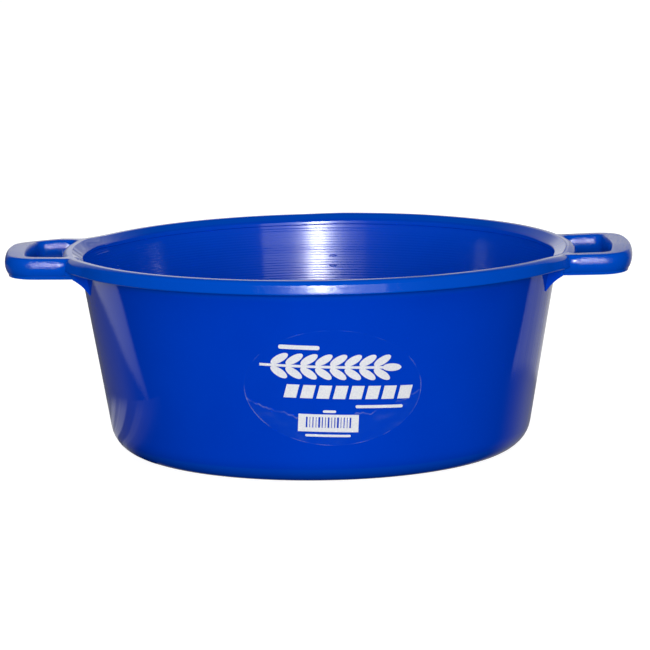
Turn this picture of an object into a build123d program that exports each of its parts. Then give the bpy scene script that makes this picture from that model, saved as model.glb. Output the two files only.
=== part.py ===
"""Feed pan: a low, round stable feed bucket with two loop handles.

The pan is one plastic moulding. It is drawn here as the regions that a
moulder would name, each a closed solid that meets its neighbours face to
face: the base, the wall, the rolled rim, two loop handles and four gussets
under the handle roots. A clear oval label with white print lies on the
front of the wall.

Frame: millimetres, +Z up, +X through both handles, the label towards -Y.
The origin is on the axis of the pan, at the plane that it stands on.
"""

import os
from math import cos, radians, sin, sqrt, tan

from build123d import *

# ---------------------------------------------------------------- driving dimensions
RIM_RADIUS = 228.0          # outer edge of the rim's flat top
PAN_HEIGHT = 179.0          # standing plane to the rim's flat top
WALL = 3.0                  # moulded wall thickness, everywhere

WALL_RADIUS_BASE = 184.0    # the outer wall, carried straight down to Z = 0
WALL_RADIUS_TOP = 212.0     # the outer wall at the bottom of the rim's skirt
BASE_CORNER = 25.6          # outer radius between the wall and the base
BASE_HEIGHT = 26.0          # the base region ends just above its rounded corner
FOOT_INNER_RADIUS = 152.0   # inner edge of the ring that the pan stands on
FOOT_RECESS = 2.0           # height of the base's underside above the floor
GATE_RADIUS = 5.0           # moulding gate mark in the middle of the underside
GATE_HEIGHT = 0.8

RIM_FLAT = 8.8              # width of the rim's flat top
FLARE_DEPTH = 5.6           # height of the sloped lead-in inside the rim
SHOULDER = 3.1              # upright step between the lead-in and the wall
SKIRT_DEPTH = 11.5          # height of the rim's outer skirt
SKIRT_SPLAY = 1.2           # how much wider the skirt is at its lower edge
RIM_EDGE = 3.0              # rounding of the rim's outer top edge

HANDLE_REACH = 278.0        # axis of the pan to the grip's outer face
GRIP_INNER = 258.5          # axis of the pan to the grip's inner face
HANDLE_HALF_WIDTH = 65.0    # half the width over both side bars
SIDE_BAR = 15.5             # width of a side bar
HANDLE_DEPTH = 19.0         # height of the handle
HANDLE_CORNER = 28.0        # outer plan corner of the loop
OPENING_CORNER = 7.0        # plan corner of the hand opening
HANDLE_EDGE = 2.2           # rounding of the handle's top edges
LIP_DEPTH = 2.6             # height of the inset lip along the handle's underside
LIP_INSET = 0.9             # how far that lip is set back

GUSSET_THICKNESS = 4.0
GUSSET_DROP = 13.8          # below the handle's underside, along the pan's wall

LABEL_AZIMUTH = 4.5         # turn of the label from -Y towards +X, degrees
LABEL_Z = 85.0              # height of the label's centre
LABEL_TURN = 2.5            # the label sits this much clockwise, degrees
LABEL_WIDTH = 148.5         # straight across, as seen from the front
LABEL_HEIGHT = 100.0
FILM_THICKNESS = 0.25
PRINT_THICKNESS = 0.12

# ---------------------------------------------------------------- worked-out values
SKIRT_BOTTOM = PAN_HEIGHT - SKIRT_DEPTH
HANDLE_BOTTOM = PAN_HEIGHT - HANDLE_DEPTH
WALL_SLOPE = (WALL_RADIUS_TOP - WALL_RADIUS_BASE) / SKIRT_BOTTOM
WALL_ACROSS = WALL * sqrt(1 + WALL_SLOPE**2)
FLOOR_TOP = FOOT_RECESS + WALL


def outer_wall(height):
    """Outer radius of the tapered wall at a height."""
    return WALL_RADIUS_BASE + WALL_SLOPE * height


def inner_wall(height):
    """Inner radius of the tapered wall at a height."""
    return outer_wall(height) - WALL_ACROSS


def nearest(vertices, r, z):
    """The section's corner closest to radius r and height z."""
    return vertices.sort_by_distance((r, z, 0))[0]


# ---------------------------------------------------------------- base
with BuildPart() as base:
    with BuildSketch(Plane.XZ) as base_section:
        with BuildLine():
            Polyline(
                (0, FOOT_RECESS),
                (FOOT_INNER_RADIUS, FOOT_RECESS),
                (FOOT_INNER_RADIUS + FOOT_RECESS, 0),
                (WALL_RADIUS_BASE, 0),
                (outer_wall(BASE_HEIGHT), BASE_HEIGHT),
                (inner_wall(BASE_HEIGHT), BASE_HEIGHT),
                (inner_wall(FLOOR_TOP), FLOOR_TOP),
                (0, FLOOR_TOP),
                close=True,
            )
        make_face()
        fillet(nearest(base_section.vertices(), WALL_RADIUS_BASE, 0), BASE_CORNER)
        fillet(nearest(base_section.vertices(), inner_wall(FLOOR_TOP), FLOOR_TOP), BASE_CORNER - WALL)
    revolve(axis=Axis.Z)
    with BuildSketch(Plane.XY.offset(FOOT_RECESS)):
        Circle(GATE_RADIUS)
    extrude(amount=-GATE_HEIGHT)
base.part.label = "base"

# ---------------------------------------------------------------- wall
with BuildPart() as wall:
    with BuildSketch(Plane.XZ):
        with BuildLine():
            Polyline(
                (outer_wall(BASE_HEIGHT), BASE_HEIGHT),
                (WALL_RADIUS_TOP, SKIRT_BOTTOM),
                (inner_wall(SKIRT_BOTTOM), SKIRT_BOTTOM),
                (inner_wall(BASE_HEIGHT), BASE_HEIGHT),
                close=True,
            )
        make_face()
    revolve(axis=Axis.Z)
wall.part.label = "wall"

# ---------------------------------------------------------------- rim
FLAT_INNER = RIM_RADIUS - RIM_FLAT
FLARE_BOTTOM = PAN_HEIGHT - FLARE_DEPTH
SHOULDER_BOTTOM = FLARE_BOTTOM - SHOULDER
SHOULDER_RADIUS = inner_wall(SHOULDER_BOTTOM)
SKIRT_RADIUS = RIM_RADIUS + SKIRT_SPLAY
FLANGE_UNDERSIDE = PAN_HEIGHT - WALL

with BuildPart() as rim:
    with BuildSketch(Plane.XZ) as rim_section:
        with BuildLine():
            Polyline(
                (inner_wall(SKIRT_BOTTOM), SKIRT_BOTTOM),
                (SHOULDER_RADIUS, SHOULDER_BOTTOM),
                (SHOULDER_RADIUS, FLARE_BOTTOM),
                (FLAT_INNER, PAN_HEIGHT),
                (RIM_RADIUS, PAN_HEIGHT),
                (SKIRT_RADIUS, SKIRT_BOTTOM),
                (SKIRT_RADIUS - WALL, SKIRT_BOTTOM),
                (RIM_RADIUS - WALL, FLANGE_UNDERSIDE),
                (FLAT_INNER + WALL / 2, FLANGE_UNDERSIDE),
                (outer_wall(SKIRT_BOTTOM + WALL / 2), SKIRT_BOTTOM + WALL / 2),
                (outer_wall(SKIRT_BOTTOM), SKIRT_BOTTOM),
                close=True,
            )
        make_face()
        fillet(nearest(rim_section.vertices(), SHOULDER_RADIUS, FLARE_BOTTOM), WALL / 3)
        fillet(nearest(rim_section.vertices(), FLAT_INNER, PAN_HEIGHT), WALL / 2)
        fillet(nearest(rim_section.vertices(), RIM_RADIUS, PAN_HEIGHT), RIM_EDGE)
        fillet(nearest(rim_section.vertices(), SKIRT_RADIUS, SKIRT_BOTTOM), WALL / 4)
        fillet(nearest(rim_section.vertices(), SKIRT_RADIUS - WALL, SKIRT_BOTTOM), WALL / 4)
    revolve(axis=Axis.Z)
rim.part.label = "rim"

# ---------------------------------------------------------------- handles
OPENING_HALF_WIDTH = HANDLE_HALF_WIDTH - SIDE_BAR
ROOT_RADIUS = RIM_RADIUS - RIM_EDGE     # the loop reaches in over the rim's rounded edge
STRIP_START = RIM_RADIUS * 0.8          # well inside the rim, so the strip covers the root


def loop_outline(reach, half_width, corner):
    """Plan of a strip along +X that ends in an arc about the pan's axis."""
    with BuildSketch(mode=Mode.PRIVATE) as outline:
        Circle(reach)
        with Locations((STRIP_START, 0)):
            Rectangle(reach, 2 * half_width, align=(Align.MIN, Align.CENTER), mode=Mode.INTERSECT)
        fillet(outline.vertices().group_by(Axis.X)[-1], corner)
    return outline.sketch


def loop_plan(inset, root):
    """Plan of the two side bars and the grip, shrunk by an inset, outside a root radius."""
    with BuildSketch(mode=Mode.PRIVATE) as plan:
        add(loop_outline(HANDLE_REACH - inset, HANDLE_HALF_WIDTH - inset, HANDLE_CORNER - inset))
        add(
            loop_outline(GRIP_INNER + inset, OPENING_HALF_WIDTH + inset, OPENING_CORNER + inset),
            mode=Mode.SUBTRACT,
        )
        Circle(root, mode=Mode.SUBTRACT)
    return plan.sketch


def off_the_rim(edge):
    """True for an edge that lies clear of the handle's root."""
    middle = edge.center()
    return sqrt(middle.X**2 + middle.Y**2) > RIM_RADIUS


with BuildPart() as handle_right:
    with BuildSketch(Plane.XY.offset(HANDLE_BOTTOM + LIP_DEPTH)):
        add(loop_plan(0, ROOT_RADIUS))
    extrude(amount=HANDLE_DEPTH - LIP_DEPTH)
    fillet(handle_right.edges().group_by(Axis.Z)[-1].filter_by(off_the_rim), HANDLE_EDGE)
    fillet(handle_right.edges().group_by(Axis.Z)[0].filter_by(off_the_rim), LIP_INSET / 2)
    with BuildSketch(Plane.XY.offset(HANDLE_BOTTOM)):
        add(loop_plan(LIP_INSET, ROOT_RADIUS))
    extrude(amount=HANDLE_DEPTH / 2)
    with BuildSketch(Plane.XY.offset(HANDLE_BOTTOM)):
        add(loop_plan(WALL, RIM_RADIUS + SKIRT_SPLAY + WALL))
    extrude(amount=HANDLE_DEPTH - WALL, mode=Mode.SUBTRACT)
    add(rim.part, mode=Mode.SUBTRACT)
handle_right.part.label = "handle_right"

with BuildPart() as handle_left:
    mirror(handle_right.part, about=Plane.YZ)
handle_left.part.label = "handle_left"

# ---------------------------------------------------------------- gussets
GUSSET_TIP = HANDLE_BOTTOM - GUSSET_DROP
GUSSET_Y = HANDLE_HALF_WIDTH - GUSSET_THICKNESS


def chord(radius):
    """Distance along X to a circle about the axis, on the gusset's mid plane."""
    return sqrt(radius**2 - (GUSSET_Y + GUSSET_THICKNESS / 2)**2)


with BuildPart() as gusset_right_rear:
    with BuildSketch(Plane.XZ.offset(-GUSSET_Y)):
        with BuildLine():
            Polyline(
                (chord(outer_wall(GUSSET_TIP) - WALL / 2), GUSSET_TIP),
                (chord(outer_wall(GUSSET_TIP)), GUSSET_TIP),
                (chord(ROOT_RADIUS), HANDLE_BOTTOM),
                (chord(ROOT_RADIUS), FLANGE_UNDERSIDE),
                (chord(FLAT_INNER + WALL / 2), FLANGE_UNDERSIDE),
                (chord(outer_wall(SKIRT_BOTTOM) - WALL / 2), SKIRT_BOTTOM),
                close=True,
            )
        make_face()
    extrude(amount=-GUSSET_THICKNESS)
    for neighbour in (wall, rim, handle_right):
        add(neighbour.part, mode=Mode.SUBTRACT)
gusset_right_rear.part.label = "gusset_right_rear"

with BuildPart() as gusset_right_front:
    mirror(gusset_right_rear.part, about=Plane.XZ)
gusset_right_front.part.label = "gusset_right_front"

with BuildPart() as gusset_left_rear:
    mirror(gusset_right_rear.part, about=Plane.YZ)
gusset_left_rear.part.label = "gusset_left_rear"

with BuildPart() as gusset_left_front:
    mirror(gusset_right_front.part, about=Plane.YZ)
gusset_left_front.part.label = "gusset_left_front"

# ---------------------------------------------------------------- label
# The label's plane stands on the pan's axis and faces outwards at the label's azimuth.
# Its own x runs to the right and a little down, as seen from the front, and its own y up.
LABEL_PLANE = Plane(
    origin=(0, 0, LABEL_Z),
    x_dir=(
        cos(radians(LABEL_AZIMUTH)),
        sin(radians(LABEL_AZIMUTH)),
        -tan(radians(LABEL_TURN)),
    ),
    z_dir=(sin(radians(LABEL_AZIMUTH)), -cos(radians(LABEL_AZIMUTH)), 0),
)


def wall_skin(start, thickness):
    """Section of a thin skin that follows the outer wall, a distance out from it."""
    low = LABEL_Z - LABEL_HEIGHT
    high = LABEL_Z + LABEL_HEIGHT
    near = start * sqrt(1 + WALL_SLOPE**2)
    far = (start + thickness) * sqrt(1 + WALL_SLOPE**2)
    with BuildSketch(mode=Mode.PRIVATE) as section:
        with BuildLine():
            Polyline(
                (outer_wall(low) + near, low),
                (outer_wall(high) + near, high),
                (outer_wall(high) + far, high),
                (outer_wall(low) + far, low),
                close=True,
            )
        make_face()
    return section.sketch


with BuildPart() as label_film:
    with BuildSketch(Plane.XZ):
        add(wall_skin(0, FILM_THICKNESS))
    revolve(axis=Axis.Z)
    with BuildSketch(LABEL_PLANE):
        Ellipse(LABEL_WIDTH / 2, LABEL_HEIGHT / 2)
    extrude(amount=RIM_RADIUS, mode=Mode.INTERSECT)
label_film.part.label = "label_film"

# The print is plain generic marking: an ear of grain, a row of slanted blocks, some
# rules and a panel of bars. Places are in millimetres from the label's centre, to the
# right and up.
EAR_START = -62.0           # butt of the stalk
EAR_TIP = 52.0
EAR_Y = 18.3                # height of the stalk's line
STALK_WIDTH = 2.2
KERNEL_COUNT = 8            # along each side of the stalk
KERNEL_LENGTH = 16.0
KERNEL_WIDTH = 6.6
KERNEL_LEAN = 32.0          # angle to the stalk, degrees
KERNEL_OFFSET = 5.9         # from the stalk's line to a kernel's middle
BLOCK_COUNT = 8
BLOCK_START = -35.0         # middle of the first block
BLOCK_PITCH = 13.6
BLOCK_Y = -3.4
BLOCK_WIDTH = 10.4
BLOCK_HEIGHT = 11.5
BLOCK_SLANT = 12.0          # degrees off upright
RULES = (                   # x, y, length, height
    (-30.3, 34.5, 34.0, 3.6),
    (38.8, -15.7, 40.0, 2.6),
    (-2.8, -20.3, 11.0, 2.2),
    (-3.2, -41.4, 38.0, 2.0),
)
PANEL_X = -3.2
PANEL_Y = -30.5
PANEL_WIDTH = 50.4
PANEL_HEIGHT = 15.2
BAR_TOP_MARGIN = 2.4
BAR_FOOT = 3.6              # plain strip below the bars
BAR_PITCH = 2.6
BAR_WIDTHS = (1.4, 0.6, 0.9, 0.6, 1.6, 0.9, 0.6, 1.4, 0.6, 0.9, 1.6, 0.6, 0.9, 0.6, 1.4)
BAR_HEIGHT = PANEL_HEIGHT - BAR_TOP_MARGIN - BAR_FOOT
BAR_Y = PANEL_Y + (BAR_FOOT - BAR_TOP_MARGIN) / 2


def block_corners():
    """Corners of a slanted block about its own middle."""
    lean = BLOCK_HEIGHT / 2 * tan(radians(BLOCK_SLANT))
    half = BLOCK_WIDTH / 2
    high = BLOCK_HEIGHT / 2
    return (-half - lean, -high), (half - lean, -high), (half + lean, high), (lean - half, high)


with BuildPart() as label_print:
    with BuildSketch(Plane.XZ):
        add(wall_skin(FILM_THICKNESS, PRINT_THICKNESS))
    revolve(axis=Axis.Z)
    with BuildSketch(LABEL_PLANE):
        for index in range(KERNEL_COUNT):
            along = EAR_START + KERNEL_LENGTH + (EAR_TIP - EAR_START - KERNEL_LENGTH) * index / KERNEL_COUNT
            for side in (1, -1):
                with Locations(Location((along, EAR_Y + side * KERNEL_OFFSET), side * KERNEL_LEAN)):
                    Ellipse(KERNEL_LENGTH / 2, KERNEL_WIDTH / 2)
        with Locations((EAR_TIP - KERNEL_LENGTH / 4, EAR_Y)):
            Ellipse(KERNEL_LENGTH / 2, KERNEL_WIDTH / 2)
        with Locations((EAR_START, EAR_Y)):
            Rectangle(EAR_TIP - EAR_START - KERNEL_LENGTH / 2, STALK_WIDTH, align=(Align.MIN, Align.CENTER))
        for index in range(BLOCK_COUNT):
            with Locations((BLOCK_START + BLOCK_PITCH * index, BLOCK_Y)):
                Polygon(*block_corners(), align=None)
        for x, y, length, height in RULES:
            with Locations((x, y)):
                SlotOverall(length, height)
        with Locations((PANEL_X, PANEL_Y)):
            Rectangle(PANEL_WIDTH, PANEL_HEIGHT)
        for index, width in enumerate(BAR_WIDTHS):
            with Locations((PANEL_X + BAR_PITCH * (index - (len(BAR_WIDTHS) - 1) / 2), BAR_Y)):
                Rectangle(width, BAR_HEIGHT, mode=Mode.SUBTRACT)
    extrude(amount=RIM_RADIUS, mode=Mode.INTERSECT)
label_print.part.label = "label_print"

# ---------------------------------------------------------------- export
PARTS = (
    base,
    wall,
    rim,
    handle_left,
    handle_right,
    gusset_left_front,
    gusset_left_rear,
    gusset_right_front,
    gusset_right_rear,
    label_film,
    label_print,
)

os.makedirs("parts", exist_ok=True)
for built in PARTS:
    export_step(built.part, f"parts/{built.part.label}.step")
    size = built.part.bounding_box().size
    print(f"{built.part.label}: {size.X:.1f} x {size.Y:.1f} x {size.Z:.1f} mm, "
          f"{len(built.part.solids())} solid(s), {built.part.volume / 1000:.2f} cm3")
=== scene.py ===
from math import acos, asin, atan2, cos, exp, hypot, pi, radians, sin, sqrt, tan

import bmesh
import bpy
from mathutils import Matrix, Vector, noise


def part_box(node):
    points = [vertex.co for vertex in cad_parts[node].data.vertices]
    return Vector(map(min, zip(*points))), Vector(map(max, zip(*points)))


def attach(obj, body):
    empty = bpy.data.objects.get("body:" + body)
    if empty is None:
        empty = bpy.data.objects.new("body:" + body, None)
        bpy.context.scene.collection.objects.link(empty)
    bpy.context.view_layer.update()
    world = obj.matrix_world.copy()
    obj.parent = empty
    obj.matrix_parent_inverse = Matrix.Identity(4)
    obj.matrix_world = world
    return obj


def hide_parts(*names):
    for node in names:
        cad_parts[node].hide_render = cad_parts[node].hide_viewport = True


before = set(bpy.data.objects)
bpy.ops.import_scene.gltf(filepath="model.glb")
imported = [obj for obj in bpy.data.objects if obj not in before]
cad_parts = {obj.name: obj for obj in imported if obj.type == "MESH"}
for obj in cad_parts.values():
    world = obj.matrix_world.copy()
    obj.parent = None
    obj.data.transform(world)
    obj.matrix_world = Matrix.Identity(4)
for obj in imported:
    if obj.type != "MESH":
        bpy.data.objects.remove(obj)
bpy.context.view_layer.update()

# ---------------------------------------------------------------- sizes, in millimetres
MM = 0.001
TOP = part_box("rim")[1].z / MM               # the rim's flat top
RIM = 228.0                                 # its outer edge
RIM_EDGE = 5.4
RIM_FLAT = 8.8
FLARE = 5.6                                 # sloped lead-in inside the rim
SHOULDER = 3.1                              # upright step under the lead-in
BEAD = 0.35                                 # the step stands in this much from the wall
SKIRT = 11.5
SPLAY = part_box("rim")[1].y / MM - RIM       # the skirt is this much wider at its lower edge
SKIRT_BOTTOM = TOP - SKIRT
SKIRT_TILT = radians(5.2)                   # at its lower edge, off upright
SKIRT_RADIUS = 120.0                        # the skirt's face is slightly convex
WALL = 3.0
WALL_BASE = 184.0
WALL_TOP = 212.0
WALL_SLOPE = (WALL_TOP - WALL_BASE) / SKIRT_BOTTOM
WALL_ACROSS = WALL * sqrt(1 + WALL_SLOPE**2)
BASE_CORNER = 25.6
FOOT_INNER = 152.0
FOOT_RECESS = 2.0
GATE_RADIUS = 5.0
GATE_HEIGHT = 0.8

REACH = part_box("handle_right")[1].x / MM    # axis to the grip's outer face
HALF_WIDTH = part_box("handle_right")[1].y / MM
HANDLE_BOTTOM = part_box("handle_right")[0].z / MM
HANDLE_DEPTH = TOP - HANDLE_BOTTOM
GRIP_INNER = 258.5
SIDE_BAR = 15.5
HANDLE_CORNER = 28.0
OPENING_CORNER = 7.0
HANDLE_EDGE = 2.4
FACE_RADIUS = 16.0                          # the handle's faces are convex
FACE_WIDEST = 8.0                           # depth below the top where they stand out most
LIP_DEPTH = 2.6
LIP_INSET = 0.9
ROOT_FILLET = 2.6                           # where the bars run into the skirt

GUSSET_THICKNESS = 4.0
GUSSET_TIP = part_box("gusset_right_rear")[0].z / MM

LABEL_AZIMUTH = 4.5
LABEL_TURN = radians(2.5)                   # the label sits this much clockwise
LABEL_Z = (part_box("label_film")[0].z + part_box("label_film")[1].z) / 2 / MM
LABEL_WIDTH = 148.5
LABEL_HEIGHT = 100.0
FILM = 0.15

AROUND = 288                                # points round every turned surface


def outer_wall(height):
    """Outer radius of the tapered wall at a height."""
    return WALL_BASE + WALL_SLOPE * height


def inner_wall(height):
    """Inner radius of the tapered wall at a height."""
    return outer_wall(height) - WALL_ACROSS


def skirt_inset(depth):
    """How far the rim's skirt lies inside its flat top's radius, at a depth below the top."""
    high = SKIRT - depth
    bulge = SKIRT_RADIUS - sqrt(SKIRT_RADIUS**2 - high**2)
    return bulge + high * tan(SKIRT_TILT) - SPLAY


# ---------------------------------------------------------------- mesh helpers
def add_piece(name, points, faces, material, sharp=34.0):
    """A smooth-shaded closed mesh, its points in millimetres, with edges sharp past an angle."""
    mesh = bpy.data.meshes.new(name)
    mesh.from_pydata([Vector(p) * MM for p in points], [], faces)
    tool = bmesh.new()
    tool.from_mesh(mesh)
    bmesh.ops.recalc_face_normals(tool, faces=tool.faces)
    tool.to_mesh(mesh)
    tool.free()
    mesh.shade_smooth()
    mesh.set_sharp_from_angle(angle=radians(sharp))
    mesh.materials.append(material)
    piece = bpy.data.objects.new(name, mesh)
    bpy.context.scene.collection.objects.link(piece)
    return piece


def stack_faces(rows, count, first=0):
    """Quads between closed rings of the same length, each ring after the last."""
    faces = []
    for row in range(rows - 1):
        low = first + row * count
        for i in range(count):
            j = (i + 1) % count
            faces.append((low + i, low + j, low + count + j, low + count + i))
    return faces


def fan(ring, hub):
    """Triangles from a closed ring of indices to one point."""
    return [(ring[i], ring[(i + 1) % len(ring)], hub) for i in range(len(ring))]


def rounded(path, steps=5):
    """An open section through (r, z, rounding) corners, each rounded by an arc."""
    out = []
    for i, (r, z, rounding) in enumerate(path):
        corner = Vector((r, z))
        if rounding == 0:
            out.append(corner)
            continue
        back = (Vector(path[i - 1][:2]) - corner).normalized()
        on = (Vector(path[i + 1][:2]) - corner).normalized()
        half = acos(max(-1, min(1, back.dot(on)))) / 2
        centre = corner + (back + on).normalized() * (rounding / sin(half))
        start = corner + back * (rounding / tan(half)) - centre
        end = corner + on * (rounding / tan(half)) - centre
        turn = atan2(start.x * end.y - start.y * end.x, start.dot(end))
        for k in range(steps + 1):
            part = turn * k / steps
            x = start.x * cos(part) - start.y * sin(part)
            y = start.x * sin(part) + start.y * cos(part)
            out.append(centre + Vector((x, y)))
    return out


def divided(a, b, step):
    """Points strictly between a and b, about a step apart."""
    count = max(1, round((b - a).length / step))
    return [a.lerp(b, k / count) for k in range(1, count)]


# ---------------------------------------------------------------- pan
def pan_section():
    """The pan's section from the middle of the underside, out, over the rim and back in."""
    floor_top = FOOT_RECESS + WALL
    shoulder_radius = inner_wall(TOP - FLARE - SHOULDER - BEAD * 1.5)
    gate = rounded(
        [
            (GATE_RADIUS * 0.4, FOOT_RECESS - GATE_HEIGHT, 0),
            (GATE_RADIUS, FOOT_RECESS - GATE_HEIGHT, 0.3),
            (GATE_RADIUS + 0.1, FOOT_RECESS, 0.4),
            (GATE_RADIUS + 3, FOOT_RECESS, 0),
        ],
        steps=3,
    )
    foot = rounded(
        [
            (FOOT_INNER - 6, FOOT_RECESS, 0),
            (FOOT_INNER, FOOT_RECESS, 1.0),
            (FOOT_INNER + FOOT_RECESS, 0, 0.8),
            (WALL_BASE, 0, BASE_CORNER),
            (WALL_TOP, SKIRT_BOTTOM, 0),
        ],
        steps=10,
    )
    rim = rounded(
        [
            (WALL_TOP, SKIRT_BOTTOM, 0),
            (outer_wall(SKIRT_BOTTOM + WALL / 2), SKIRT_BOTTOM + WALL / 2, 1.0),
            (RIM - RIM_FLAT + WALL / 2, TOP - WALL, 1.5),
            (RIM - WALL, TOP - WALL, 1.0),
            (RIM + SPLAY - WALL, SKIRT_BOTTOM, WALL / 3),
            (RIM + SPLAY, SKIRT_BOTTOM, WALL / 3),
            (RIM + SPLAY, SKIRT_BOTTOM + 1.2, 0),
            (RIM - skirt_inset(SKIRT * 0.75), TOP - SKIRT * 0.75, 0),
            (RIM - skirt_inset(SKIRT * 0.5), TOP - SKIRT * 0.5, 0),
            (RIM - skirt_inset(SKIRT * 0.3), TOP - SKIRT * 0.3, 0),
            (RIM - skirt_inset(0), TOP, RIM_EDGE),
            (RIM - RIM_FLAT, TOP, WALL * 0.8),
            (shoulder_radius - BEAD, TOP - FLARE, WALL * 0.5),
            (shoulder_radius - BEAD - SHOULDER * WALL_SLOPE, TOP - FLARE - SHOULDER, 0.3),
            (shoulder_radius, TOP - FLARE - SHOULDER - BEAD * 1.5, 0.3),
            (shoulder_radius - WALL_SLOPE * 2, TOP - FLARE - SHOULDER - BEAD * 1.5 - 2, 0),
        ],
        steps=6,
    )
    inside = rounded(
        [
            (shoulder_radius - WALL_SLOPE * 2, TOP - FLARE - SHOULDER - BEAD * 1.5 - 2, 0),
            (inner_wall(floor_top), floor_top, BASE_CORNER - WALL),
            (12, floor_top, 0),
        ],
        steps=14,
    )
    section = list(gate)
    section += divided(gate[-1], foot[0], 9)
    section += foot[:-1]
    section += divided(foot[-2], foot[-1], 6)
    section += rim[:-1]
    section.append(inside[0])
    section += divided(inside[0], inside[1], RING_STEP)
    section += inside[1:-1]
    section += divided(inside[-2], inside[-1], 3)
    section.append(inside[-1])
    return section


RING_STEP = 0.48            # height between rows on the inner wall
RING_PITCH = 2.4            # turning marks that the mould left on the inner wall
RING_DEPTH = 0.052
LEAD = 0.25                 # the inner wall opens a little more just under the shoulder
LEAD_TOP = 168.5
LEAD_HEIGHT = 5.0
WARP = 0.22                 # slow unevenness of the moulding
WARP_SIZE = 55.0
SQUEEZE = 1.0               # the skirt's lower edge is pressed in a little, left of the middle
SQUEEZE_AT = 80.0
SQUEEZE_WIDTH = 55.0
FREE_FROM = 0.1             # off the handles' axis, as a sine: the rim starts to move freely
FREE_OVER = 0.25
REAR_LIFT = 1.2             # lift of the rear rim in the middle
REAR_FALL = 4.2             # and how far it drops towards the handles
REAR_TILT = 0.7             # it stands higher on the right by this much
RIGHT_LIFT = 0.8
ROOT_AT = 0.27              # where the handles' roots are, as a sine
ROOT_WIDTH = 0.13


def clamped(value):
    """A value limited to 0..1."""
    return min(1.0, max(0.0, value))


def sag(x, y, z):
    """How much the flexible rim stands higher or lower than true, matched to the photo."""
    flat = max(1.0, hypot(x, y))
    along, back = x / flat, y / flat
    free = clamped((abs(back) - FREE_FROM) / FREE_OVER)
    rear = REAR_LIFT - REAR_FALL * (1 - back) + REAR_TILT * along if back > 0 else 0.0
    rear += RIGHT_LIFT * clamped(along * 6 + 0.5) if back > 0 else 0.0
    lift = max(0.0, flat - RIM) / (REACH - RIM)
    roots = exp(-((abs(back) - ROOT_AT) / ROOT_WIDTH)**2)
    if back > 0:
        on_left = 2.3 - 5 * max(0.0, lift - 0.3)
        on_right = 1.5 * lift - 0.2
        bend = (1 - along) / 2 * on_left + (1 + along) / 2 * on_right
    else:
        bend = -1.9 - 0.7 * along
    return (free * rear - (1 - free) * 0.6 * (1 - 2 * lift) + roots * bend) * max(0.0, z / TOP)**3


def settle(r, z, angle):
    """Where a point of the turned pan really lies: slow warp, and turning marks inside."""
    x, y = r * cos(angle), r * sin(angle)
    z += sag(x, y, z)
    if y < 0 and r > RIM - RIM_EDGE * 2 and z < TOP:
        r -= SQUEEZE * (TOP - z) / SKIRT * exp(-((x + SQUEEZE_AT) / SQUEEZE_WIDTH)**2)
    bare = clamped((SKIRT_BOTTOM - z) / 30) * clamped((z - 4) / 30)
    shift = WARP * bare * noise.noise(Vector((x, y, z * 0.5)) / WARP_SIZE)
    if r < outer_wall(z) - WALL / 2 and z > 30:
        swell = (0.8 + 0.35 * noise.noise(Vector((z / 9, 0, 7)))) * clamped((LEAD_TOP - z) / 3)
        drift = 0.8 * noise.noise(Vector((z / 20, 3, 0)))
        shift += RING_DEPTH * swell * sin(2 * pi * z / RING_PITCH + drift)
        opened = clamped((z - LEAD_TOP) / LEAD_HEIGHT + 1)**2
        shift += LEAD * opened * clamped((TOP - z) / FLARE)
    return ((r + shift) * cos(angle), (r + shift) * sin(angle), z)


def make_pan(material):
    """The base, the wall and the rim as one turned moulding."""
    section = pan_section()
    points = []
    for spot in section:
        for k in range(AROUND):
            points.append(settle(spot.x, spot.y, 2 * pi * k / AROUND))
    faces = stack_faces(len(section), AROUND)
    points.append((0, 0, section[0].y))
    faces += fan(list(range(AROUND)), len(points) - 1)
    last = (len(section) - 1) * AROUND
    points.append((0, 0, section[-1].y))
    faces += fan(list(range(last, last + AROUND)), len(points) - 1)
    return add_piece("pan_moulding", points, faces, material)


# ---------------------------------------------------------------- handles
def boundary(side_y, corner_radius, arc_radius, outside):
    """Half of the loop's outer or inner plan outline, from the skirt to the grip's middle.
    Each entry is (point, direction into the plastic, share of the way out of the root)."""
    sign = 1 if outside else -1
    line = []
    centre_y = side_y + sign * ROOT_FILLET
    centre = Vector((sqrt((RIM + ROOT_FILLET)**2 - centre_y**2), centre_y))
    start = atan2(-centre.y, -centre.x)
    end = -sign * pi / 2
    turn = (end - start + pi) % (2 * pi) - pi
    for k in range(ROOT_STEPS):
        share = k / ROOT_STEPS
        inward = Vector((cos(start + turn * share), sin(start + turn * share)))
        line.append((centre + inward * ROOT_FILLET, inward, share))
    corner_y = side_y - sign * corner_radius if outside else side_y - corner_radius
    corner = Vector((sqrt((arc_radius - corner_radius)**2 - corner_y**2), corner_y))
    inward = Vector((0, -sign))
    for k in range(BAR_STEPS):
        x = centre.x + (corner.x - centre.x) * k / BAR_STEPS
        line.append((Vector((x, side_y)), inward, 1.0))
    stop = atan2(corner.y, corner.x)
    for k in range(CORNER_STEPS):
        angle = pi / 2 + (stop - pi / 2) * k / CORNER_STEPS
        ray = Vector((cos(angle), sin(angle)))
        line.append((corner + ray * corner_radius, ray * -sign, 1.0))
    for k in range(GRIP_STEPS + 1):
        angle = stop * (1 - k / GRIP_STEPS)
        ray = Vector((cos(angle), sin(angle)))
        line.append((ray * arc_radius, ray * -sign, 1.0))
    return line


ROOT_STEPS = 6
BAR_STEPS = 9
CORNER_STEPS = 9
GRIP_STEPS = 8
CAVITY_FROM = 2             # bar rows before the underside's hollow begins


def face_inset(depth):
    """How far a convex handle face has curved in, at a depth below the top."""
    return FACE_RADIUS - sqrt(FACE_RADIUS**2 - (depth - FACE_WIDEST)**2)


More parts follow.
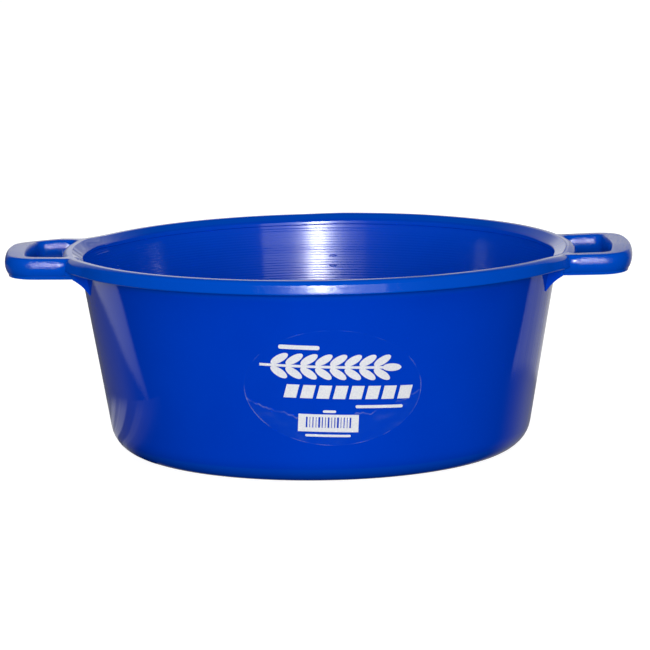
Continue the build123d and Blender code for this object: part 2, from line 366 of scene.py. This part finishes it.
def half_section(share, hollow):
    """(inset, depth) pairs from the top's edge, down a face, under, and up into the hollow.
    At share 0 the section is the rim's own edge, and at 1 it is the bar's."""
    out = []
    meet = HANDLE_EDGE * (1 - FACE_WIDEST / FACE_RADIUS) / (1 - HANDLE_EDGE / FACE_RADIUS)
    tilt = asin((FACE_WIDEST - meet) / FACE_RADIUS)
    centre = face_inset(meet) + HANDLE_EDGE * cos(tilt)
    for k in range(7):
        angle = pi / 2 + (tilt - pi / 2) * k / 6
        bar = Vector((centre - HANDLE_EDGE * cos(angle), HANDLE_EDGE * (1 - sin(angle))))
        angle = pi / 2 * (1 - k / 6)
        rim = Vector((RIM_EDGE * (1 - cos(angle)), RIM_EDGE * (1 - sin(angle))))
        out.append(rim.lerp(bar, share))
    lip_top = HANDLE_DEPTH - LIP_DEPTH
    for depth in (2.2, 3.4, 4.6, 5.8, 7.0, 8.2, 9.4, 10.8, 12.4, 14.0, lip_top - 0.9):
        rim = Vector((skirt_inset(min(depth, SKIRT)), depth))
        out.append(rim.lerp(Vector((face_inset(depth), depth)), share))
    low = face_inset(lip_top - 0.4)
    out.append(Vector((low + 0.06, lip_top - 0.4)))
    out.append(Vector((low + 0.3, lip_top - 0.08)))
    out.append(Vector((low + LIP_INSET - 0.15, lip_top)))
    out.append(Vector((low + LIP_INSET, lip_top + 0.2)))
    out.append(Vector((low + LIP_INSET + 0.05, HANDLE_DEPTH - 0.5)))
    out.append(Vector((low + LIP_INSET + 0.2, HANDLE_DEPTH - 0.12)))
    out.append(Vector((low + LIP_INSET + 0.5, HANDLE_DEPTH)))
    roof = WALL if hollow else HANDLE_DEPTH
    out.append(Vector((WALL + 1.2, HANDLE_DEPTH)))
    out.append(Vector((WALL + 1.5, HANDLE_DEPTH - 0.3 if hollow else HANDLE_DEPTH)))
    out.append(Vector((WALL + 1.7, roof + (1.2 if hollow else 0))))
    out.append(Vector((WALL + 2.1, roof + (0.35 if hollow else 0))))
    out.append(Vector((WALL + 2.9, roof)))
    return out


def handle_rows():
    """Closed rings of points round the loop, from one root to the other."""
    outer = boundary(HALF_WIDTH, HANDLE_CORNER, REACH, True)
    inner = boundary(HALF_WIDTH - SIDE_BAR, OPENING_CORNER, GRIP_INNER, False)
    rows = []
    for index, (a, b) in enumerate(zip(outer, inner)):
        share = a[2]
        hollow = index >= ROOT_STEPS + CAVITY_FROM
        sides = []
        for (spot, inward, _), side_y, sign in ((a, HALF_WIDTH, 1), (b, HALF_WIDTH - SIDE_BAR, -1)):
            side = []
            for inset, depth in half_section(share, hollow):
                place = spot + inward * inset
                if share < 1:
                    plain = Vector((place.x, side_y - sign * inset))
                    low = clamped((depth - SKIRT + 1.2) / 1.2)
                    place = place.lerp(plain, low)
                side.append(Vector((place.x, place.y, TOP - depth)))
            sides.append(side)
        top = (sides[0][0] + sides[1][0]) / 2
        roof = (sides[0][-1] + sides[1][-1]) / 2
        rows.append([top] + sides[0] + [roof] + sides[1][::-1])
    root = []
    for spot in rows[0]:
        flat = hypot(spot.x, spot.y)
        pull = (RIM - RIM_EDGE - 0.4) / flat if flat > RIM - RIM_EDGE else (flat - 0.4) / flat
        root.append(Vector((spot.x * pull, spot.y * pull, min(spot.z, TOP - 0.8))))
    rows.insert(0, root)
    other = [[Vector((p.x, -p.y, p.z)) for p in row] for row in rows[:-1]]
    return rows + other[::-1]


def make_handle(name, side, material):
    """One loop handle with a hollow underside; side is 1 for +X and -1 for -X."""
    rows = handle_rows()
    count = len(rows[0])
    points = []
    for row in rows:
        points += [(p.x * side, p.y, p.z + sag(p.x * side, p.y, p.z)) for p in row]
    faces = stack_faces(len(rows), count)
    for row in (0, len(rows) - 1):
        ring = list(range(row * count, (row + 1) * count))
        hub = sum((rows[row][i] for i in range(count)), Vector()) / count
        points.append((hub.x * side, hub.y, hub.z + sag(hub.x * side, hub.y, hub.z)))
        faces += fan(ring, len(points) - 1)
    return add_piece(name, points, faces, material)


# ---------------------------------------------------------------- gussets
def make_gusset(name, side, face, material):
    """The web under a handle's root; side is the sign of X and face the sign of Y."""
    middle = HALF_WIDTH - GUSSET_THICKNESS / 2
    half = GUSSET_THICKNESS / 2
    free_top = sqrt((RIM - RIM_EDGE)**2 - middle**2)
    points = []
    heights = []
    levels = 14
    for k in range(levels + 1):
        heights.append(GUSSET_TIP + (HANDLE_BOTTOM - GUSSET_TIP) * k / levels)
    heights += [HANDLE_BOTTOM + 0.6, SKIRT_BOTTOM - 2, SKIRT_BOTTOM, TOP - WALL]
    for z in heights:
        up = clamped((z - GUSSET_TIP) / (HANDLE_BOTTOM - GUSSET_TIP))
        inner = outer_wall(z) if z <= SKIRT_BOTTOM else RIM - RIM_FLAT + WALL
        root = sqrt(inner**2 - middle**2)
        free = root + 0.05 + (free_top - root) * (0.55 * up + 0.45 * up**3)
        flare = 1.1 * (0.25 + 0.75 * up)
        ring = []
        for sign in (1, -1):
            outline = [(root - WALL / 2, half + flare)]
            for step in range(6):
                share = step / 5
                out = root + (free - root) * min(1, share)
                spread = flare * max(0.0, 1 - (out - root) / 5.0)**2
                outline.append((out - 0.5 * (step == 5), half + spread))
            last = outline[-1]
            outline.append((free - 0.12, last[1] - 0.2))
            outline.append((free, last[1] - 0.6))
            outline = [(x, middle + sign * y) for x, y in outline]
            ring += outline if sign == 1 else outline[::-1]
        for x, y in ring:
            points.append((x * side, min(y, HALF_WIDTH + 2.4) * face, z + sag(x * side, y * face, z)))
    count = len(ring)
    faces = stack_faces(len(heights), count)
    faces.append(tuple(range(count)))
    faces.append(tuple(range(len(points) - count, len(points))))
    return add_piece(name, points, faces, material)


# ---------------------------------------------------------------- label
def on_wall(x, y, proud):
    """A label point, right and up from its centre, laid on the pan's outer wall."""
    x, y = x * cos(LABEL_TURN) + y * sin(LABEL_TURN), y * cos(LABEL_TURN) - x * sin(LABEL_TURN)
    z = LABEL_Z + y
    radius = outer_wall(z) + proud * sqrt(1 + WALL_SLOPE**2)
    turn = radians(LABEL_AZIMUTH)
    depth = sqrt(radius**2 - x**2)
    return Vector((x * cos(turn) + depth * sin(turn), x * sin(turn) - depth * cos(turn), z))


def slack_line(x):
    """Height of the wavy line that the film's loose lower part ends at."""
    sag = -26 + 19 * (x / 74)**2 + 5 * (x / 74)
    return sag + 3.2 * noise.noise(Vector((x / 9, 2, 5))) + 1.6 * noise.noise(Vector((x / 3.5, 8, 1)))


def film_state(x, y, ring):
    """The film's thickness with the air under it, and how milky it looks, at a label point."""
    over = y - slack_line(x)
    patchy = 0.5 + 0.9 * noise.noise(Vector((x / 8, y / 8, 3)))
    ridge = max(0.0, 1 - abs(over) / 1.3) * max(0.0, patchy)
    loose = max(0.0, min(1.0, -over / 3)) * (0.6 + 0.8 * noise.noise(Vector((x / 11, y / 7, 4))))
    calm = 0.03 * noise.noise(Vector((x / 22, y / 16, 9)))
    glue = max(0.08, 0.3 + 1.5 * noise.noise(Vector((x / 16, y / 16, 6))))
    edge = max(0.0, (ring - 0.985) / 0.015) * glue
    proud = FILM + 0.09 * ridge + 0.05 * loose + calm
    return proud, 0.004 + 0.30 * ridge + 0.07 * max(0.0, loose) + 0.30 * edge


def make_film(material):
    """The clear oval label: a thin film whose edge is rounded down onto the wall."""
    rings = [0.985 * (k + 1) / 130 for k in range(130)] + [0.989, 0.993, 0.996, 0.998, 1.0]
    count = 400
    points = []
    milky = []
    for ring in rings:
        edge = 1 - max(0.0, (ring - 0.985) / 0.015)**3
        for k in range(count):
            angle = 2 * pi * k / count
            x = LABEL_WIDTH / 2 * ring * cos(angle)
            y = LABEL_HEIGHT / 2 * ring * sin(angle)
            proud, milk = film_state(x, y, ring)
            points.append(on_wall(x, y, proud * edge))
            milky.append(milk)
    for k in range(count):
        angle = 2 * pi * k / count
        points.append(on_wall(LABEL_WIDTH / 2 * cos(angle), LABEL_HEIGHT / 2 * sin(angle), -0.4))
        milky.append(0.0)
    faces = stack_faces(len(rings) + 1, count)
    points.append(on_wall(0, 0, FILM))
    faces += fan(list(range(count)), len(points) - 1)
    points.append(on_wall(0, 0, -0.4))
    last = len(rings) * count
    faces += fan(list(range(last, last + count)), len(points) - 1)
    piece = add_piece("clear_label", points, faces, material)
    haze = piece.data.attributes.new("milky", "FLOAT", "POINT")
    haze.data.foreach_set("value", milky + [0.0, 0.0])
    return piece


# ---------------------------------------------------------------- materials
def material_with(name):
    """A new material, its node tree, its main shader and the object's own coordinates."""
    material = bpy.data.materials.new(name)
    material.use_nodes = True
    tree = material.node_tree
    shader = tree.nodes["Principled BSDF"]
    place = tree.nodes.new("ShaderNodeTexCoord").outputs["Object"]
    return material, tree, shader, place


def grain(tree, place, scale, detail=2.0, rough=0.5, stretch=(1, 1, 1)):
    """A noise value, its scale in cycles per metre."""
    mapping = tree.nodes.new("ShaderNodeMapping")
    mapping.inputs["Scale"].default_value = stretch
    tree.links.new(place, mapping.inputs["Vector"])
    made = tree.nodes.new("ShaderNodeTexNoise")
    made.inputs["Scale"].default_value = scale
    made.inputs["Detail"].default_value = detail
    made.inputs["Roughness"].default_value = rough
    tree.links.new(mapping.outputs["Vector"], made.inputs["Vector"])
    return made.outputs["Fac"]


def spread(tree, value, low, high, to_low, to_high):
    """The value's range low to high, mapped to another range."""
    made = tree.nodes.new("ShaderNodeMapRange")
    made.inputs["From Min"].default_value = low
    made.inputs["From Max"].default_value = high
    made.inputs["To Min"].default_value = to_low
    made.inputs["To Max"].default_value = to_high
    tree.links.new(value, made.inputs["Value"])
    return made.outputs["Result"]


def math_node(tree, operation, a, b=None):
    """A maths node on sockets or plain numbers."""
    made = tree.nodes.new("ShaderNodeMath")
    made.operation = operation
    for value, socket in ((a, made.inputs[0]), (b, made.inputs[1])):
        if isinstance(value, (int, float)):
            socket.default_value = value
        elif value is not None:
            tree.links.new(value, socket)
    return made.outputs[0]


def product(tree, *values):
    """Several factors multiplied together."""
    total = values[0]
    for value in values[1:]:
        total = math_node(tree, "MULTIPLY", total, value)
    return total


def blended(tree, share, a, b):
    """A number between the two values, by the share."""
    made = tree.nodes.new("ShaderNodeMix")
    for value, socket in ((share, made.inputs[0]), (a, made.inputs[2]), (b, made.inputs[3])):
        tree.links.new(value, socket)
    return made.outputs[0]


def ramp(tree, value, low, high):
    """0 below low, 1 above high and smooth between; low may be the larger."""
    made = tree.nodes.new("ShaderNodeMapRange")
    made.interpolation_type = "SMOOTHSTEP"
    made.inputs["From Min"].default_value = min(low, high)
    made.inputs["From Max"].default_value = max(low, high)
    made.inputs["To Min"].default_value = 0 if low < high else 1
    made.inputs["To Max"].default_value = 1 if low < high else 0
    tree.links.new(value, made.inputs["Value"])
    return made.outputs["Result"]


def bumped(tree, height, distance, below=None, strength=1.0):
    """A bump of that height in metres, over another bump."""
    made = tree.nodes.new("ShaderNodeBump")
    made.inputs["Distance"].default_value = distance
    made.inputs["Strength"].default_value = strength
    tree.links.new(height, made.inputs["Height"])
    if below is not None:
        tree.links.new(below, made.inputs["Normal"])
    return made.outputs["Normal"]


def mixed(tree, share, a, b):
    """A colour between a and b; each is a colour or a socket."""
    made = tree.nodes.new("ShaderNodeMix")
    made.data_type = "RGBA"
    tree.links.new(share, made.inputs["Factor"])
    for value, socket in ((a, made.inputs[6]), (b, made.inputs[7])):
        if isinstance(value, tuple):
            socket.default_value = (*value, 1)
        else:
            tree.links.new(value, socket)
    return made.outputs[2]


MARK_X = 9.2
MARK_Z = 136.9
MARK_RADIUS = 4.6
MARK_ARC = (3.7, 4.3)                       # height off its middle where its edge starts and is full


def round_mark(tree, place):
    """A small round mark on the back of the inner wall, of which two short arcs stand out."""
    away = tree.nodes.new("ShaderNodeVectorMath")
    away.operation = "DISTANCE"
    centre = Vector((MARK_X, inner_wall(MARK_Z), MARK_Z)) * MM
    away.inputs[1].default_value = centre
    tree.links.new(place, away.inputs[0])
    off = math_node(tree, "SUBTRACT", away.outputs["Value"], MARK_RADIUS * MM)
    ring = ramp(tree, math_node(tree, "ABSOLUTE", off), 1.5 * MM, 0.3 * MM)
    across = tree.nodes.new("ShaderNodeSeparateXYZ")
    tree.links.new(place, across.inputs[0])
    above = math_node(tree, "ABSOLUTE", math_node(tree, "SUBTRACT", across.outputs[2], centre.z))
    arcs = ramp(tree, above, MARK_ARC[0] * MM, MARK_ARC[1] * MM)
    return math_node(tree, "MULTIPLY", math_node(tree, "MULTIPLY", ring, arcs), -1)


def make_plastic():
    """Glossy moulded polypropylene, deep blue, with a slight orange peel and fine scuffs; its colour also
    carries painted light (a lighter blue on the rim, handles and inside) and a painted shade band under the
    skirt.
    """
    material, tree, shader, place = material_with("blue_polypropylene")
    slow = spread(tree, grain(tree, place, 9, 3), 0.35, 0.65, 0, 1)
    wall_blue = mixed(tree, slow, (0.0, 0.0490, 0.600), (0.0, 0.0540, 0.640))
    # Painted light: the rim, skirt and handles get a lighter, greener blue than the wall, standing in for
    # the light from above that they catch.
    lit_rim_blue = mixed(tree, slow, (0.0, 0.0800, 0.620), (0.0, 0.0860, 0.660))
    height = tree.nodes.new("ShaderNodeSeparateXYZ")
    tree.links.new(place, height.inputs[0])
    high = ramp(tree, height.outputs[2], (SKIRT_BOTTOM - 9) * MM, (SKIRT_BOTTOM + 1) * MM)
    flat = tree.nodes.new("ShaderNodeVectorMath")
    flat.operation = "LENGTH"
    level = tree.nodes.new("ShaderNodeMapping")
    level.inputs["Scale"].default_value = (1, 1, 0)
    tree.links.new(place, level.inputs["Vector"])
    tree.links.new(level.outputs["Vector"], flat.inputs[0])
    reach = flat.outputs["Value"]
    beyond = ramp(tree, reach, (WALL_TOP + 6) * MM, (WALL_TOP + 12) * MM)
    # The painted-light blue goes on everything high up or reaching out past the wall.
    colour = mixed(tree, math_node(tree, "MAXIMUM", high, beyond), wall_blue, lit_rim_blue)
    flecks = spread(tree, grain(tree, place, 420, 2), 0.70, 0.80, 0, 0.12)
    colour = mixed(tree, flecks, colour, (0.01, 0.085, 0.70))
    # Painted shade: a dark blue band on the outer wall just under the skirt's lower edge, where the skirt's
    # shadow falls.
    painted_shade_under_skirt = product(tree, ramp(tree, height.outputs[2], (SKIRT_BOTTOM - 4.5) * MM, (SKIRT_BOTTOM - 1.5) * MM),
                  ramp(tree, height.outputs[2], (SKIRT_BOTTOM + 0.5) * MM, SKIRT_BOTTOM * MM),
                  ramp(tree, reach, (WALL_TOP + 4) * MM, (WALL_TOP + 2) * MM))
    colour = mixed(tree, math_node(tree, "MULTIPLY", painted_shade_under_skirt, 0.55), colour, (0.0, 0.012, 0.34))
    tapered = math_node(tree, "MULTIPLY", height.outputs[2], WALL_SLOPE)
    inward = math_node(tree, "SUBTRACT", reach, tapered)
    inside = ramp(tree, inward, (WALL_BASE - 1) * MM, (WALL_BASE - 2) * MM)
    # Painted light: the inner surfaces get a lighter, greener blue than the outer wall, standing in for the
    # light they catch from above.
    colour = mixed(tree, inside, colour, mixed(tree, slow, (0.0, 0.0640, 0.620), (0.0, 0.0700, 0.660)))
    tree.links.new(colour, shader.inputs["Base Color"])
    patchy = grain(tree, place, 30, 4, 0.6)
    worn = spread(tree, patchy, 0.3, 0.7, 0.055, 0.08)
    clean = spread(tree, patchy, 0.3, 0.7, 0.03, 0.045)
    tree.links.new(blended(tree, inside, clean, worn), shader.inputs["Roughness"])
    share = spread(tree, inside, 0, 1, 0.3, 1)
    peel = bumped(tree, product(tree, grain(tree, place, 520, 2, 0.5), share), 0.000012)
    scuffs = grain(tree, place, 60, 3, 0.65, (1, 1, 14))
    marked = bumped(tree, product(tree, scuffs, share), 0.000012, peel)
    outside = ramp(tree, reach, (RIM - 4) * MM, (RIM - 1) * MM)
    skirt = ramp(tree, reach, (RIM + 8) * MM, (RIM + 5) * MM)
    patches = spread(tree, grain(tree, place, 95, 3), 0.42, 0.58, 0.1, 0.75)
    strength = blended(tree, skirt, spread(tree, patches, 0, 1, 2.4, 2.6), patches)
    handled = product(tree, grain(tree, place, 560, 3, 0.7), high, outside, strength)
    marked = bumped(tree, handled, 0.00014, marked)
    dent = product(tree, round_mark(tree, place), inside)
    tree.links.new(bumped(tree, dent, 0.0003, marked), shader.inputs["Normal"])
    shader.inputs["IOR"].default_value = 1.5
    return material


def make_clear():
    """Clear film: almost all of it is the wall behind, with a haze where it is loose."""
    material, tree, shader, place = material_with("clear_film")
    shader.inputs["Roughness"].default_value = 0.12
    milky = tree.nodes.new("ShaderNodeAttribute")
    milky.attribute_name = "milky"
    white = spread(tree, milky.outputs["Fac"], 0.06, 0.2, 0, 1)
    tree.links.new(mixed(tree, white, (0.05, 0.24, 0.86), (0.66, 0.68, 0.90)), shader.inputs["Base Color"])
    uneven = spread(tree, grain(tree, place, 700, 2), 0.3, 0.7, 0.7, 1.3)
    haze = math_node(tree, "MULTIPLY", milky.outputs["Fac"], uneven)
    tree.links.new(haze, shader.inputs["Alpha"])
    return material


def make_ink():
    """White screen ink on the film, a little thin in places."""
    material, tree, shader, place = material_with("white_ink")
    thin = spread(tree, grain(tree, place, 900, 2), 0.35, 0.65, 0, 1)
    tree.links.new(mixed(tree, thin, (0.84, 0.86, 0.94), (0.96, 0.97, 1.0)), shader.inputs["Base Color"])
    shader.inputs["Roughness"].default_value = 0.45
    return material


plastic = make_plastic()
pan = make_pan(plastic)
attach(pan, "root")
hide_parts("base", "wall", "rim")

for word, side in (("left", -1), ("right", 1)):
    loop = make_handle(f"loop_{word}", side, plastic)
    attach(loop, "root")
    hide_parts(f"handle_{word}")
    for end, face in (("front", -1), ("rear", 1)):
        web = make_gusset(f"web_{word}_{end}", side, face, plastic)
        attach(web, "root")
        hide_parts(f"gusset_{word}_{end}")

film = make_film(make_clear())
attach(film, "root")
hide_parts("label_film")

ink = make_ink()
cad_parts["label_print"].data.materials.clear()
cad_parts["label_print"].data.materials.append(ink)


# ---------------------------------------------------------------- floor, light and camera
def make_stage():
    """A wide pale floor, which neither gloss nor diffuse light sees."""
    mesh = bpy.data.meshes.new("studio_floor")
    far = 30.0
    mesh.from_pydata([(-far, -far, 0), (far, -far, 0), (far, far, 0), (-far, far, 0)], [], [(0, 1, 2, 3)])
    floor = bpy.data.objects.new("studio_floor", mesh)
    bpy.context.scene.collection.objects.link(floor)
    material, tree, shader, place = material_with("pale_floor")
    tone = spread(tree, grain(tree, place, 3, 2), 0.3, 0.7, 0, 1)
    tree.links.new(mixed(tree, tone, (0.30, 0.30, 0.30), (0.33, 0.33, 0.33)), shader.inputs["Base Color"])
    shader.inputs["Roughness"].default_value = 0.9
    shader.inputs["Emission Color"].default_value = (1, 1, 1, 1)
    shader.inputs["Emission Strength"].default_value = 0.93
    mesh.materials.append(material)
    floor.visible_glossy = False
    floor.visible_diffuse = False


def make_sheet():
    """White paper lying beside the pan on its left, seen only in the gloss of the wall."""
    mesh = bpy.data.meshes.new("floor_sheet")
    outline = [(-0.33, 0.24), (-0.16, 0.24), (-0.14, -0.13), (-0.30, -0.13)]
    mesh.from_pydata([(x, y, 0.0005) for x, y in outline], [], [(0, 1, 2, 3)])
    sheet = bpy.data.objects.new("floor_sheet", mesh)
    bpy.context.scene.collection.objects.link(sheet)
    material, tree, shader, place = material_with("white_paper")
    along = tree.nodes.new("ShaderNodeSeparateXYZ")
    tree.links.new(place, along.inputs[0])
    left = math_node(tree, "MULTIPLY", along.outputs[0], -1)
    around = math_node(tree, "ARCTAN2", along.outputs[1], left)
    streaks = spread(tree, wavering(tree, around, 5), 0.4, 0.6, 0.0, 0.36)
    reach = tree.nodes.new("ShaderNodeVectorMath")
    reach.operation = "LENGTH"
    tree.links.new(place, reach.inputs[0])
    fade = product(
        tree,
        ramp(tree, around, -0.44, -0.05),
        ramp(tree, along.outputs[1], 0.22, 0.15),
        ramp(tree, reach.outputs["Value"], 0.325, 0.275),
    )
    streaked = math_node(tree, "MULTIPLY", fade, streaks)
    even = math_node(tree, "MULTIPLY", ramp(tree, around, -0.5, -0.2), 0.1)
    tone = math_node(tree, "ADD", streaked, even)
    tree.links.new(tone, shader.inputs["Emission Strength"])
    shader.inputs["Emission Color"].default_value = (1, 1, 1, 1)
    shader.inputs["Base Color"].default_value = (0, 0, 0, 1)
    mesh.materials.append(material)
    sheet.visible_camera = False
    sheet.visible_diffuse = False
    sheet.visible_shadow = False


def past_line(tree, azimuth, rise, at, height, slope, soft):
    """1 where the direction lies over a sloping line through (azimuth at, elevation height)."""
    line = math_node(tree, "MULTIPLY", math_node(tree, "SUBTRACT", azimuth, at), slope)
    over = math_node(tree, "SUBTRACT", rise, line)
    return ramp(tree, over, height - soft, height + soft)


def wavering(tree, value, pace):
    """A smooth random wave along one value."""
    wave = tree.nodes.new("ShaderNodeTexNoise")
    wave.noise_dimensions = "1D"
    wave.inputs["Scale"].default_value = pace
    wave.inputs["Detail"].default_value = 2
    tree.links.new(value, wave.inputs["W"])
    return wave.outputs[0]


def right_paper(tree, azimuth, rise):
    """Paper behind the pan on the right, which stops at the back edge of the table."""
    low = math_node(tree, "MAXIMUM", math_node(tree, "MINIMUM", rise, -14), -22)
    side = past_line(tree, low, azimuth, -16.6, 127.0, 2.15, 0.8)
    deep = spread(tree, azimuth, 136, 168, 0.48, 0.75)
    streaks = spread(tree, wavering(tree, azimuth, 0.9), 0.35, 0.65, 0.62, 1.38)
    table = past_line(tree, azimuth, rise, 132.8, -17.2, 0.159, 0.15)
    faint = math_node(tree, "MULTIPLY", ramp(tree, azimuth, 114, 150), 0.34)
    return blended(tree, table, faint, product(tree, side, deep, streaks))


def left_paper(tree, azimuth, rise):
    """Paper on the left: a bright slanting strip, fainter paper below it, more above and behind."""
    turned = math_node(tree, "MULTIPLY", azimuth, -1)
    under = past_line(tree, turned, rise, 111.4, -19.1, 0.33, 0.09)
    behind = product(tree, ramp(tree, turned, 167, 178), spread(tree, rise, -5, 5, 0.5, 1))
    dim = spread(tree, under, 0, 1, 1, 0)
    strip = past_line(tree, turned, rise, 138.8, -14.2, 0.214, 0.1)
    ends = product(tree, ramp(tree, turned, 92, 118), ramp(tree, turned, 148, 138))
    bright = product(tree, dim, strip, ends)
    low = product(tree, dim, ramp(tree, turned, 106, 130))
    above = ramp(tree, turned, 128, 150)
    high = product(tree, above, ramp(tree, rise, -4, 14))
    total = math_node(tree, "MULTIPLY", bright, 0.65)
    for value, share in ((low, 0.17), (behind, 1.1), (high, 0.6)):
        total = math_node(tree, "ADD", total, math_node(tree, "MULTIPLY", value, share))
    return math_node(tree, "MINIMUM", total, 1.15)


BOX_MIDDLE = 1.2            # azimuth of the hot middle, in degrees
BOX_LOW = -3.0              # elevation of the box's lower edge
BOX_HIGH = 20.0             # and of its upper edge
HOT = 46.0                  # strength of the hot middle
HOT_WIDTH = 8.5             # and its half width


def soft_box(tree, azimuth, rise):
    """The lamp as the gloss shows it: a broad box at the front with a hot middle."""
    off = math_node(tree, "DIVIDE", math_node(tree, "SUBTRACT", azimuth, BOX_MIDDLE), HOT_WIDTH)
    fall = math_node(tree, "ADD", math_node(tree, "MULTIPLY", off, off), 1)
    climb = spread(tree, rise, 1.5, 10, HOT * 0.15, HOT)
    hot = math_node(tree, "DIVIDE", climb, math_node(tree, "MULTIPLY", fall, fall))
    face = product(tree, ramp(tree, azimuth, -24.5, -21.5), ramp(tree, azimuth, 32, 29))
    pale = math_node(tree, "MULTIPLY", face, spread(tree, azimuth, -21, 29, 0.45, 1.7))
    lower = ramp(tree, rise, BOX_LOW - 1.5, BOX_LOW + 1.5)
    upper = ramp(tree, rise, BOX_HIGH + 1.5, BOX_HIGH - 1.5)
    window = product(tree, lower, upper)
    return math_node(tree, "MULTIPLY", math_node(tree, "ADD", hot, pale), window)


FILL_LOW = 0.13             # even soft light from below
FILL_HIGH = 0.50            # and from above


def make_surround():
    """The studio: papers and the soft box in the gloss, even fill elsewhere, white to the camera."""
    world = bpy.data.worlds.new("studio")
    bpy.context.scene.world = world
    world.use_nodes = True
    world.cycles.sampling_method = "NONE"
    tree = world.node_tree
    tree.nodes.clear()
    way = tree.nodes.new("ShaderNodeSeparateXYZ")
    tree.links.new(tree.nodes.new("ShaderNodeTexCoord").outputs["Generated"], way.inputs[0])
    back = math_node(tree, "MULTIPLY", way.outputs[1], -1)
    azimuth = math_node(tree, "MULTIPLY", math_node(tree, "ARCTAN2", way.outputs[0], back), 180 / pi)
    rise = math_node(tree, "MULTIPLY", math_node(tree, "ARCSINE", way.outputs[2]), 180 / pi)
    shiny = math_node(tree, "ADD", right_paper(tree, azimuth, rise), left_paper(tree, azimuth, rise))
    level = math_node(tree, "MULTIPLY", ramp(tree, rise, 46, 14), ramp(tree, rise, -38, -23))
    shiny = math_node(tree, "ADD", math_node(tree, "MULTIPLY", shiny, level), soft_box(tree, azimuth, rise))
    rays = tree.nodes.new("ShaderNodeLightPath")
    even = spread(tree, way.outputs[2], -0.5, 0.5, FILL_LOW, FILL_HIGH)
    fill = math_node(tree, "MULTIPLY", rays.outputs["Is Diffuse Ray"], even)
    shiny = math_node(tree, "MULTIPLY", rays.outputs["Is Glossy Ray"], shiny)
    seen = math_node(tree, "ADD", rays.outputs["Is Camera Ray"], rays.outputs["Is Transmission Ray"])
    total = math_node(tree, "ADD", math_node(tree, "ADD", fill, shiny), seen)
    glow = tree.nodes.new("ShaderNodeBackground")
    tree.links.new(total, glow.inputs["Strength"])
    out = tree.nodes.new("ShaderNodeOutputWorld")
    tree.links.new(glow.outputs[0], out.inputs["Surface"])


def add_light(name, azimuth, elevation, distance, size, strength):
    """A soft box facing the pan; its direction is in degrees from the front, towards +X."""
    light = bpy.data.lights.new(name, "AREA")
    light.shape = "RECTANGLE"
    light.size, light.size_y = size
    light.energy = strength
    lamp = bpy.data.objects.new(name, light)
    bpy.context.scene.collection.objects.link(lamp)
    a, e = radians(azimuth), radians(elevation)
    way = Vector((sin(a) * cos(e), -cos(a) * cos(e), sin(e)))
    lamp.location = way * distance + Vector((0, 0, 0.1))
    lamp.rotation_mode = "QUATERNION"
    lamp.rotation_quaternion = way.to_track_quat("Z", "Y")
    lamp.visible_camera = False
    lamp.visible_glossy = False
    return lamp


make_stage()
make_sheet()
make_surround()
add_light("key_box", 2.6, 10, 3.2, (0.5, 0.80), 44)
add_light("front_box", 3.4, 7, 3.4, (2.9, 1.0), 22)
add_light("back_box", 180, 12, 3.4, (2.9, 1.0), 34)

LENS = 165.05
DISTANCE = 2.6305
HEIGHT = 0.5259
TURN = radians(1.3)         # how far the camera stands to the right of the pan's front
AIM = 0.0018309             # and its own turn, dip and roll, in radians
DIP = 0.157998
ROLL = 0.013822
camera_data = bpy.data.cameras.new("camera")
camera = bpy.data.objects.new("camera", camera_data)
bpy.context.scene.collection.objects.link(camera)
camera_data.lens = LENS
camera_data.sensor_width = 36
camera_data.clip_end = 100
camera.matrix_world = (
    Matrix.Translation((DISTANCE * sin(TURN), -DISTANCE * cos(TURN), HEIGHT))
    @ Matrix.Rotation(TURN - AIM, 4, "Z")
    @ Matrix.Rotation(pi / 2 - DIP, 4, "X")
    @ Matrix.Rotation(-ROLL, 4, "Z")
)
bpy.context.scene.camera = camera
bpy.context.scene.view_settings.view_transform = "Standard"
